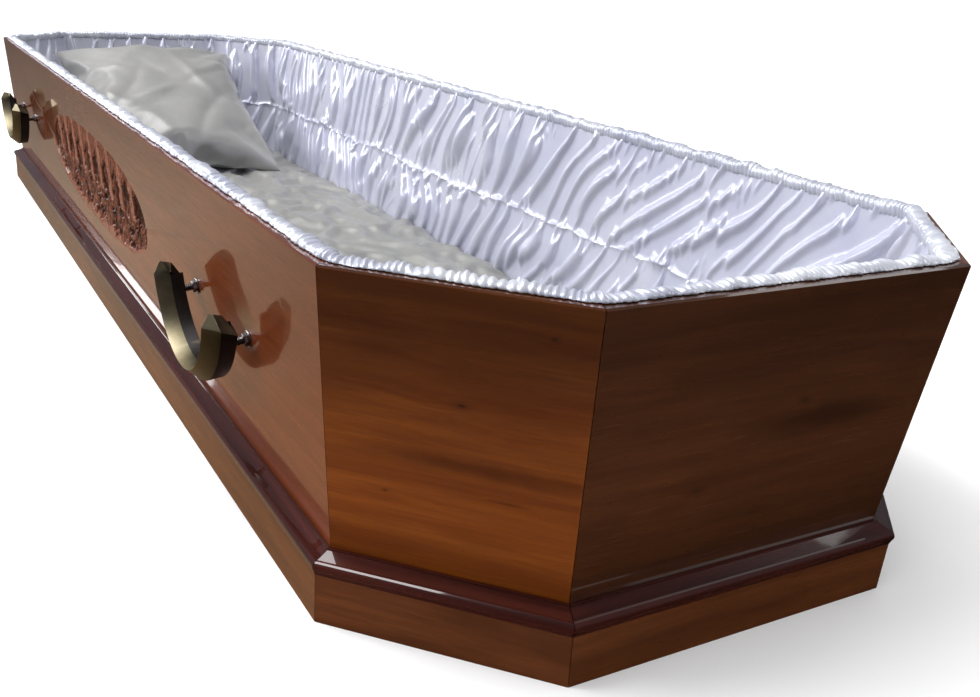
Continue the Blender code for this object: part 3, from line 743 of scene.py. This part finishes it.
def build_bolt(name, side, along):
    """A threaded stud with a hexagon nut and a washer that lies on the board."""
    matrix = side_frame(side, along, HANDLE_ABOVE_MOULDING - BOLT_BELOW_HANDLE)
    bm = bmesh.new()
    thread = [(0.0, -0.004)]
    x = -0.004
    while x < 0.0170:
        thread += [(0.0032, x), (0.0035, x + 0.0004)]
        x += 0.0008
    thread.append((0.0, 0.0172))
    lathe(bm, thread, 20, matrix)
    nut = [(0, 0.0016), (0.0054, 0.0016), (0.0060, 0.0021), (0.0060, 0.0050), (0.0052, 0.0056), (0, 0.0056)]
    lathe(bm, nut, 6, matrix)
    disc = [(0, 0.0003), (0.0078, 0.0003), (0.0082, 0.0007), (0.0082, 0.0012), (0.0078, 0.0016), (0, 0.0016)]
    lathe(bm, disc, 36, matrix)
    bolt = from_bmesh(name, bm, sharp=30)
    bolt.data.materials.append(METALS["steel"])
    return bolt


METALS = {"brass": brass("worn_brass"), "dark": dark_brass("dark_brass"), "steel": steel("bolt_steel")}


def build_handles():
    for side in SIDES:
        for end, sign in (("foot", -1.0), ("head", 1.0)):
            along = sign * HANDLE_FROM_MIDDLE
            handle = build_handle(f"cast_handle_{side}_{end}", side, along)
            stand_for(handle, f"handle_{side}_{end}")
            for label, shift in (("outer", 1.0), ("inner", -1.0)):
                place = along + sign * shift * BOLT_FROM_HANDLE
                bolt = build_bolt(f"stud_{side}_{end}_{label}", side, place)
                stand_for(bolt, f"bolt_{side}_{end}_{label}")


build_handles()


# Lining: cloth on the walls, relaxed as a net of springs from its flat length to the shorter wall


def relax(points, rest_across, rest_up, rounds, hold, wrap=None):
    """Pulls a net of rows x columns x 3 points to its flat lengths.

    wrap is the step from the last column round to the first.
    """
    columns = points.shape[1]
    n = columns - 1 if wrap is None else columns
    m = columns - 2 if wrap is None else columns
    diagonal = math.hypot(rest_across, rest_up)
    springs = (
        (np.s_[:, :n], np.s_[:, 1 : n + 1], rest_across, 0.30),
        (np.s_[:-1, :columns], np.s_[1:, :columns], rest_up, 0.22),
        (np.s_[:-1, :n], np.s_[1:, 1 : n + 1], diagonal, 0.07),
        (np.s_[:-1, 1 : n + 1], np.s_[1:, :n], diagonal, 0.07),
    )
    bends = (
        (np.s_[:, :m], np.s_[:, 1 : m + 1], np.s_[:, 2 : m + 2]),
        (np.s_[:-2, :columns], np.s_[1:-1, :columns], np.s_[2:, :columns]),
    )
    for _ in range(rounds):
        p = points if wrap is None else np.concatenate([points, points[:, :2] + wrap], axis=1)
        move = np.zeros_like(p)
        for a, b, rest, give in springs:
            gap = p[b] - p[a]
            size = np.sqrt((gap * gap).sum(-1, keepdims=True)) + 1e-9
            pull = gap * (give * (size - rest) / size)
            move[a] += pull
            move[b] -= pull
        for a, middle, b in bends:
            bend = 0.09 * ((p[a] + p[b]) / 2 - p[middle])
            move[middle] += bend
            move[a] -= bend / 2
            move[b] -= bend / 2
        if wrap is not None:
            move[:, :2] += move[:, columns:]
        points += move[:, :columns]
        hold(points)
    return points


def wall_path(count, outset, height):
    """Points round the inside at one height, with rounded corners, and the inward direction at each."""
    corners = np.array([corner(k, outset, height)[:2] for k in range(8)])
    lengths = np.linalg.norm(np.roll(corners, -1, axis=0) - corners, axis=1)
    total = lengths.sum()
    starts = np.concatenate([[0], np.cumsum(lengths)])
    place = (np.arange(count) + 0.5) / count * total
    panel = np.clip(np.searchsorted(starts, place, side="right") - 1, 0, 7)
    share = (place - starts[panel]) / lengths[panel]
    points = corners[panel] * (1 - share)[:, None] + np.roll(corners, -1, axis=0)[panel] * share[:, None]
    normals = -np.array([outward(k)[:] for k in range(8)])[panel]
    reach = max(2, int(round(0.030 / (total / count))))
    kernel = np.hanning(2 * reach + 1)
    kernel /= kernel.sum()

    def blur(values):
        wrapped = np.concatenate([values[-reach:], values, values[:reach]])
        return np.stack([np.convolve(wrapped[:, k], kernel, "valid") for k in range(2)], 1)

    normals = blur(normals)
    normals /= np.linalg.norm(normals, axis=1)[:, None]
    return blur(points), normals, total


def closed_noise(shape, cells, seed):
    """Smooth noise whose last column meets its first, for cloth that runs right round."""
    return smooth_noise(shape, cells, seed, wrap=True)


def ripple(columns, cells, seed):
    return closed_noise((1, columns), (1, cells), seed)[0]


def closed_cloth(name, vertices, rows, columns):
    return new_object(name, vertices, grid_faces(rows, columns, wrap_columns=True)[:, ::-1])


LINING_TOP = 0.2930
LINING_FOOT = 0.0350
FULLNESS = 1.28
EASE_UP = 1.06


def crests(along, up, length, pitch, seeds, slant, sharp):
    """Folds that wander up the cloth, mostly from 0 to 1. slant is their run along the wall per metre up."""
    count = round(length / pitch)
    rows, columns = up.shape[0], along.shape[0]
    wander = 1.15 * closed_noise((rows, columns), (2, round(count * 0.8)), seeds[0])
    spread = 1.9 * ripple(columns, round(count / 4), seeds[1])
    lean = slant * (1 + 0.8 * ripple(columns, round(count / 5), seeds[2]))
    phase = along / length * count + wander + spread + lean * (up[:, None] - GATHER_HEIGHT) / pitch
    strength = 0.80 + 0.55 * closed_noise((rows, columns), (2, round(count * 1.5)), seeds[0] + 50)
    return (0.5 + 0.5 * np.cos(2 * math.pi * phase)) ** sharp * np.clip(strength, 0.25, 1.3)


def fold_slant(along, length):
    """The folds lean towards the foot on the side walls, more so near the foot."""
    corners = [corner(k % 8, -INSIDE, 0.2) for k in range(9)]
    ends = np.cumsum([0] + [(b - a).length for a, b in zip(corners, corners[1:])])
    ends = ends / ends[-1] * length
    right = np.clip((along - ends[3]) / (ends[4] - ends[3]), 0, 1)
    left = np.clip((along - ends[7]) / (ends[8] - ends[7]), 0, 1)
    slant = np.where(along < ends[3], 0.85, 0.05 + 0.95 * (1 - right) ** 2.4)
    return np.where(along > ends[7], -0.15 - 0.6 * left**2, slant)


def lining_half(name, columns, rows, top, foot, seed, pitch, swell, deepest):
    """One half of the lining, above or below its middle row of gathers, relaxed from its flat size."""
    _, _, length = wall_path(columns, -INSIDE, 0.20)
    step_across, step_up = length / columns, (top - foot) / (rows - 1)
    up = np.linspace(top, foot, rows)
    along = np.arange(columns) * step_across
    share = (up - foot) / (top - foot)
    slant = fold_slant(along, length)
    upper = foot == GATHER_HEIGHT
    if upper:
        bow = np.sin(math.pi * share)[:, None] ** 0.5
    else:
        bow = np.sin(math.pi * (0.12 + 0.88 * share))[:, None] ** 0.6
    seeds, finer_seeds = range(seed, seed + 3), range(seed + 3, seed + 6)
    off = swell * bow * crests(along, up, length, pitch, seeds, slant, 0.95)
    off += 0.22 * swell * bow * crests(along, up, length, pitch * 0.56, finer_seeds, slant * 0.95, 1.2)
    ends = np.exp(-(((up - GATHER_HEIGHT) / 0.013) ** 2)) + np.exp(-(((up - LINING_TOP) / 0.009) ** 2))
    pucker = closed_noise((rows, columns), (max(5, rows // 5), 400), seed + 6)
    off += 0.0110 * ends[:, None] * np.abs(pucker) ** 0.8
    off += 0.0010 * closed_noise((rows, columns), (8, 300), seed + 7)
    seam = 0.0065 * ripple(columns, 60, 17) + 0.0045 * ripple(columns, 330, 20)
    sewn = 0.0014 + 0.0085 * np.abs(ripple(columns, 420, 18))
    points = np.zeros((rows, columns, 3))
    points[..., 0] = along[None, :]
    points[..., 1] = up[:, None]
    points[..., 2] = np.clip(off + 0.001, 0.0006, None)
    limit = np.full(rows, deepest)
    for step in range(6):
        limit[step] = 0.0090 + 0.0034 * step
        if upper:
            limit[-1 - step] = 0.0110 + 0.0030 * step
    if not upper:
        limit = np.minimum(limit, 0.0140 + 0.9 * (up - foot))
    gathered, free = (-1, 0) if upper else (0, -1)
    stitched = np.stack([along + 0.0016 * ripple(columns, 700, 19), GATHER_HEIGHT + seam, sewn], -1)
    base = points[..., 0].copy()

    def hold(p):
        p[..., 2] -= 0.00004
        np.clip(p[..., 2], 0.0005, limit[:, None], out=p[..., 2])
        p[gathered] = stitched
        p[free, :, 1] = up[free]
        p[free, :, 0] += 0.10 * (base[free] - p[free, :, 0])
        p[..., 0] += 0.003 * (base - p[..., 0])

    lap = np.array([length, 0.0, 0.0])
    relax(points, step_across * FULLNESS, step_up * EASE_UP, 220, hold, wrap=lap)
    return closed_cloth(name, on_walls(points, length), rows, columns)


def on_walls(net, length):
    """Turns distances along, up and off the walls into places."""
    heights = np.linspace(0.030, 0.300, 28)
    fine = 2400
    paths = (wall_path(fine, -INSIDE - 0.0006, float(height)) for height in heights)
    rings = np.array([np.concatenate([points, normals], 1) for points, normals, _ in paths])
    u = (net[..., 0] / length * fine - 0.5) % fine
    v = np.clip((net[..., 1] - heights[0]) / (heights[1] - heights[0]), 0, len(heights) - 1.001)
    iu, iv = np.floor(u).astype(int) % fine, np.floor(v).astype(int)
    fu, fv = (u - np.floor(u))[..., None], (v - iv)[..., None]
    ju = (iu + 1) % fine
    low = rings[iv, iu] * (1 - fu) + rings[iv, ju] * fu
    high = rings[iv + 1, iu] * (1 - fu) + rings[iv + 1, ju] * fu
    mixed = low * (1 - fv) + high * fv
    plan = mixed[..., :2] + mixed[..., 2:] * net[..., 2][..., None]
    return np.concatenate([plan, net[..., 1][..., None]], -1).reshape(-1, 3)


def add_lining():
    satin_cloth = satin("lining_satin")
    for name, rows, top, foot, seed, swell, deepest in (
        ("gathered_lining_upper", 42, LINING_TOP, GATHER_HEIGHT, 11, 0.0195, 0.0250),
        ("gathered_lining_lower", 34, GATHER_HEIGHT, LINING_FOOT, 31, 0.0205, 0.0300),
    ):
        half = lining_half(name, 2300, rows, top, foot, seed, 0.050, swell, deepest)
        stand_for(half, "wall_lining", satin_cloth)


add_lining()


# Edge band: a narrow ruched strip over the boards' top edge


def build_band():
    """Bunched loops with an uneven outer edge. Rows run from the outer edge over the top and down inside."""
    columns, rows = 4600, 18
    _, _, length = wall_path(columns, -0.012, RIM_HEIGHT)
    s = np.arange(columns) * (length / columns)
    slow, wide = ripple(columns, 300, 61), ripple(columns, 90, 62)
    big = np.clip(ripple(columns, 150, 66), -0.2, 1)
    phase = math.pi * (s / length * round(length / 0.0060)) + 3.0 * slow + 4.0 * wide
    share = np.linspace(0, 1, rows)
    angle = math.radians(-20) + share * math.radians(262)
    lean = 1.7 * closed_noise((rows, columns), (2, 420), 63)
    loops = np.abs(np.sin(phase[None, :] + 2.6 * share[:, None] + lean))
    small = closed_noise((rows, columns), (5, 850), 64)
    fold = 0.0024 * (loops**0.8 - 0.62) + 0.0034 * small + 0.0022 * big[None, :]
    fold *= (0.55 + 0.45 * np.sin(np.pi * np.clip(share * 1.2, 0, 1)))[:, None]
    across = -0.0144 + (0.0078 + fold) * np.cos(angle)[:, None]
    rise = RIM_HEIGHT + 0.0005 + (0.0044 + fold) * np.sin(angle)[:, None]
    turned = np.clip((angle - math.radians(170)) / 1.0, 0, 1)[:, None]
    rise = rise - 0.0060 * turned
    across = across - 0.0015 * turned
    rise = np.where((across > -0.0185) & (rise < RIM_HEIGHT + 0.0006), RIM_HEIGHT + 0.0006, rise)
    across = np.where((across > -0.0190) & (rise < RIM_HEIGHT), -0.0190, across)
    slide = 0.0022 * closed_noise((rows, columns), (3, 700), 65)
    points, normals, _ = wall_path(columns, -0.0045, RIM_HEIGHT)
    tangents = np.stack([-normals[:, 1], normals[:, 0]], 1)
    off = -0.0045 - across
    plan = points[None] + normals[None] * off[..., None] + tangents[None] * slide[..., None]
    vertices = np.concatenate([plan, rise[..., None]], -1).reshape(-1, 3)
    return closed_cloth("ruched_band", vertices, rows, columns)


band = build_band()
stand_for(band, "edge_band", satin("band_satin", (0.66, 0.68, 0.74), (0.40, 0.42, 0.52), 0.3))


# Mattress: a slack cover over a thin pad


def inner_half_width(y, inset, height):
    """Half the clear width at a distance along the coffin."""
    rise = height - MOULDING_TOP
    side = HALF_WIDTH + SIDE_LEAN / LEAN_RISE * rise - inset
    diagonal = (HALF_WIDTH + HALF_SHOULDER) / math.sqrt(2) + CORNER_LEAN / LEAN_RISE * rise - inset
    return np.minimum(side, diagonal * math.sqrt(2) - np.abs(y))


MATTRESS_INSET = 0.0205
MATTRESS_FOOT = 0.0246
NET_HALF_WIDTH = 0.256


def build_mattress():
    rows, columns = 420, 118
    reach = HALF_LENGTH - MATTRESS_INSET
    y = np.linspace(-reach, reach, rows)
    half = inner_half_width(y, MATTRESS_INSET, MATTRESS_TOP)
    t = np.linspace(-1, 1, columns)
    net = np.zeros((rows, columns, 3))
    net[..., 0] = t[None, :] * NET_HALF_WIDTH
    net[..., 1] = y[:, None]
    step_across, step_up = 2 * NET_HALF_WIDTH / (columns - 1), 2 * reach / (rows - 1)
    broad = smooth_noise((rows, columns), (22, 7), 41)
    ridge = 1 - np.abs(smooth_noise((rows, columns), (44, 13), 42)) ** 0.8
    slash = 1 - np.abs(smooth_noise((rows, columns), (26, 18), 43)) ** 0.7
    net[..., 2] = np.clip(0.003 + 0.004 * broad + 0.010 * ridge**3 + 0.007 * slash**3, 0.0005, None)
    base = net.copy()

    def hold(p):
        p[..., 2] -= 0.00003
        np.clip(p[..., 2], 0.0, 0.020, out=p[..., 2])
        for edge in (np.s_[0, :, :2], np.s_[-1, :, :2], np.s_[:, 0, :2], np.s_[:, -1, :2]):
            p[edge] = base[edge]
        p[..., :2] += 0.003 * (base[..., :2] - p[..., :2])

    relax(net, step_across * 1.12, step_up * 1.09, 130, hold)
    narrow = np.interp(net[..., 1], y, half) / NET_HALF_WIDTH
    x = net[..., 0] * narrow
    swell = (1 - np.abs(t[None, :]) ** 6) * (1 - np.abs(y[:, None] / reach) ** 16)
    z = MATTRESS_TOP - 0.003 + 0.003 * swell + net[..., 2]
    z[:, 0] = z[:, -1] = MATTRESS_TOP - 0.004
    z[0] = z[-1] = MATTRESS_TOP - 0.004
    vertices = np.stack([x, net[..., 1], z], -1).reshape(-1, 3)
    rim = border_of(rows, columns)
    low = np.column_stack([vertices[rim, :2], np.full(len(rim), MATTRESS_FOOT)])
    under = [rows * columns + k for k in range(len(rim))]
    skirt = [(a, c, d, b) for a, b, c, d in zip(rim, rim[1:] + rim[:1], under, under[1:] + under[:1])]
    faces = grid_faces(rows, columns).tolist() + skirt + [under[::-1]]
    return new_object("mattress_cover", np.concatenate([vertices, low]), faces)


mattress = build_mattress()
# Greyer cream than the lining's satin, and darkened further as painted shade.
mattress_satin = satin("mattress_satin", (0.265, 0.26, 0.25), (0.20, 0.20, 0.19), 0.2, 0.46)
stand_for(mattress, "mattress", mattress_satin)


# Pillow: two squares of satin sewn at their edges and filled


def build_pillow():
    cells = 58
    half_x, half_y = 0.212, 0.214
    t = np.linspace(-1, 1, cells)
    u, v = np.meshgrid(t, t)
    layers = []
    for side in (1.0, -1.0):
        swell = np.clip((1 - u * u) * (1 - v * v), 0, 1) ** 0.6
        z = side * (0.0015 + 0.016 * swell)
        z += 0.0016 * smooth_noise(u.shape, (9, 9), 51 + int(side))
        edge = (np.abs(u) > 0.999) | (np.abs(v) > 0.999)
        z = np.where(edge, 0.0, z)
        layers.append(np.stack([u * half_x, v * half_y, z], -1))
    top = grid_faces(cells, cells)
    vertices = np.concatenate([layers[0].reshape(-1, 3), layers[1].reshape(-1, 3)])
    faces = np.concatenate([top, top[:, ::-1] + cells * cells])
    pillow = new_object("satin_pillow", vertices, faces)
    bm = bmesh.new()
    bm.from_mesh(pillow.data)
    bmesh.ops.remove_doubles(bm, verts=bm.verts, dist=0.0005)
    bm.to_mesh(pillow.data)
    bm.free()
    inflate(pillow, 3.2, 26)
    return pillow


def inflate(piece, pressure, frames):
    """Fills a sewn shape with Blender's cloth and keeps the result as its mesh."""
    scene = bpy.context.scene
    cloth = piece.modifiers.new("filling", "CLOTH")
    settings = cloth.settings
    settings.quality = 6
    settings.mass = 0.25
    settings.tension_stiffness = settings.compression_stiffness = 18
    settings.shear_stiffness = 6
    settings.bending_stiffness = 0.25
    settings.air_damping = 4
    settings.use_pressure = True
    settings.uniform_pressure_force = pressure
    settings.effector_weights.gravity = 0
    cloth.point_cache.frame_start = 1
    cloth.point_cache.frame_end = frames
    for step in range(1, frames + 1):
        scene.frame_set(step)
    graph = bpy.context.evaluated_depsgraph_get()
    shape = bpy.data.meshes.new_from_object(piece.evaluated_get(graph))
    piece.modifiers.clear()
    piece.data = shape
    scene.frame_set(1)


def creases_on(places, thick):
    """Soft creases of the slack cover: short bars at seeded places, and ridges in from its corners."""
    u, v = places[:, 0], places[:, 1]
    rng = np.random.default_rng(77)
    lift = np.zeros(len(u))
    for _ in range(16):
        angle = rng.choice([0.05, 0.30, -0.25, 0.78, -0.78]) + rng.normal(0, 0.10)
        middle = rng.uniform(-0.75, 0.75, 2)
        du, dv = u - middle[0], v - middle[1]
        along = du * math.cos(angle) + dv * math.sin(angle)
        away = -du * math.sin(angle) + dv * math.cos(angle) + 0.10 * np.sin(3.1 * along + rng.uniform(0, 6))
        narrow = rng.uniform(0.045, 0.10)
        height = rng.uniform(0.003, 0.0065) * rng.choice([1, 1, -1])
        bar = np.exp(-np.abs(away / narrow) ** 1.4)
        lift += height * bar * np.exp(-((along / rng.uniform(0.25, 0.6)) ** 2))
    for a, b in ((-1, -1), (-1, 1), (1, -1), (1, 1)):
        reach = np.hypot(u - a, v - b)
        turn = np.arctan2(v - b, u - a)
        lift += 0.0045 * np.cos(9.0 * turn + a) * np.exp(-(((reach - 0.42) / 0.26) ** 2))
    edge = np.clip((1 - np.maximum(np.abs(u), np.abs(v))) / 0.12, 0, 1)
    return np.where(thick > 0, lift * edge, 0.0)


def place_pillow(pillow):
    """Turns the filled pillow to lean on the head wall, with its near edge on the mattress."""
    points = np.array([v.co[:] for v in pillow.data.vertices])
    extent = np.abs(points).max(0)
    want = np.array([0.200, 0.208])
    points[:, :2] *= want / extent[:2]
    thick = points[:, 2].copy()
    points[:, 2] = np.where(thick > 0, thick * 0.074 / thick.max(), thick * 0.020 / -thick.min())
    near, far = np.array([0.524, 0.0540]), np.array([0.916, 0.262])
    run = (far - near) / np.linalg.norm(far - near)
    up = np.array([-run[1], run[0]])
    points[:, 2] += creases_on(points / [*want, 1.0], points[:, 2])
    middle = (near + far) / 2
    span = np.linalg.norm(far - near) / (2 * want[1])
    plan = middle[None] + points[:, 1:2] * span * run[None] + points[:, 2:3] * up[None]
    x = points[:, 0] - 0.012
    flat = np.stack([x, plan[:, 0], plan[:, 1]], -1)
    flat[:, 2] = np.maximum(flat[:, 2], MATTRESS_TOP + 0.001)
    pillow.data.vertices.foreach_set("co", flat.astype(np.float32).reshape(-1))
    pillow.data.update()
    pillow.data.shade_smooth()
    soft = pillow.modifiers.new("soften", "SUBSURF")
    soft.levels = soft.render_levels = 1


pillow = build_pillow()
place_pillow(pillow)
# Greyer cream than the lining's satin, and darkened further as painted shade.
pillow_satin = satin("pillow_satin", (0.305, 0.30, 0.29), (0.225, 0.225, 0.22), 0.25, 0.41)
stand_for(pillow, "pillow", pillow_satin)


# Floor and lights


def area_light(name, size, place, aim, power, colour=(1, 1, 1)):
    data = bpy.data.lights.new(name, "AREA")
    data.shape = "RECTANGLE"
    data.size, data.size_y = size
    data.energy = power
    data.color = colour
    lamp = in_scene(name, data)
    lamp.location = place
    lamp.rotation_euler = (Vector(aim) - Vector(place)).to_track_quat("-Z", "Y").to_euler()
    return lamp


def build_stage():
    far = 400.0
    corners = [(-far, -far, 0), (far, -far, 0), (far, far, 0), (-far, far, 0)]
    ground = new_object("studio_floor", corners, [(0, 1, 2, 3)], False)
    g = paint_graph("studio_floor_paint")
    pale = g.ramp(g.noise(0.8, 3.0), [(0.3, (0.92,) * 3), (0.7, (0.94,) * 3)])
    paint(ground, g.set(Base_Color=pale, Roughness=0.7, Specular_IOR_Level=0.1))
    ground.visible_glossy = False
    world = bpy.data.worlds.new("studio")
    sky = Graph(world, "Background", "Generated")
    height = sky.add("ShaderNodeSeparateXYZ", {0: sky.place}).outputs["Z"]
    facing = sky.vector("DOT_PRODUCT", sky.place, (-0.25, 0.95, 0.0), result="Value")
    browns = [(0.0, (0.30, 0.205, 0.125)), (0.5, (0.41, 0.345, 0.26)), (1.0, (0.09, 0.085, 0.08))]
    down = sky.ramp(sky.span(height, -0.50, -0.10), browns)
    spread = sky.ramp(facing, [(0.10, (0.03,) * 3), (0.70, (1.0,) * 3)])
    below = sky.mix(1.0, down, spread, "MULTIPLY")
    above = sky.ramp(facing, [(0.0, (0.10, 0.10, 0.11)), (0.6, (0.15, 0.15, 0.17))])
    sky.set(Color=sky.mix(sky.span(height, -0.12, 0.06), below, above), Strength=1.0)
    bpy.context.scene.world = world
    area_light("window", (2.4, 1.4), (-3.2, 1.4, 1.9), (0, 0, 0.15), 74, (0.96, 0.98, 1.0))
    area_light("ceiling", (2.6, 1.2), (-1.1, 0.4, 3.4), (0, 0, 0), 80)
    for name, size, place, power in (
        ("right_window", (1.8, 0.9), (2.1, -2.6, 1.9), 16),
        ("far_window", (0.9, 0.5), (-1.9, 3.8, 1.0), 12),
    ):
        area_light(name, size, place, (-0.2, -0.6, 0.05), power).visible_diffuse = False
    sun = bpy.data.lights.new("daylight", "SUN")
    sun.energy = 3.8
    sun.angle = math.radians(120)
    high = in_scene("daylight", sun)
    high.rotation_euler = (math.radians(-10), math.radians(-14), 0)
    high.visible_glossy = False


build_stage()


CAMERA_PLACE = (-0.59464, -1.49100, 0.50366)


def build_camera():
    """The view of the photograph, 980 x 697 pixels, with its optical centre off the middle."""
    yaw, pitch, roll = 0.48576, 0.23544, 0.06123
    ahead = Vector((math.sin(yaw) * math.cos(pitch), math.cos(yaw) * math.cos(pitch), -math.sin(pitch)))
    right = Vector((math.cos(yaw), -math.sin(yaw), 0.0))
    up = right.cross(ahead)
    across = math.cos(roll) * right + math.sin(roll) * up
    above = -math.sin(roll) * right + math.cos(roll) * up
    data = bpy.data.cameras.new("photo_view")
    data.sensor_width = 36.0
    data.lens = 38.103
    data.shift_x, data.shift_y = 0.09308, -0.14198
    data.clip_start = 0.02
    camera = in_scene("photo_view", data)
    camera.matrix_world = axes_at(CAMERA_PLACE, across, above, -ahead)
    bpy.context.scene.camera = camera


build_camera()

bpy.context.scene.view_settings.view_transform = "Standard"
bpy.context.view_layer.update()
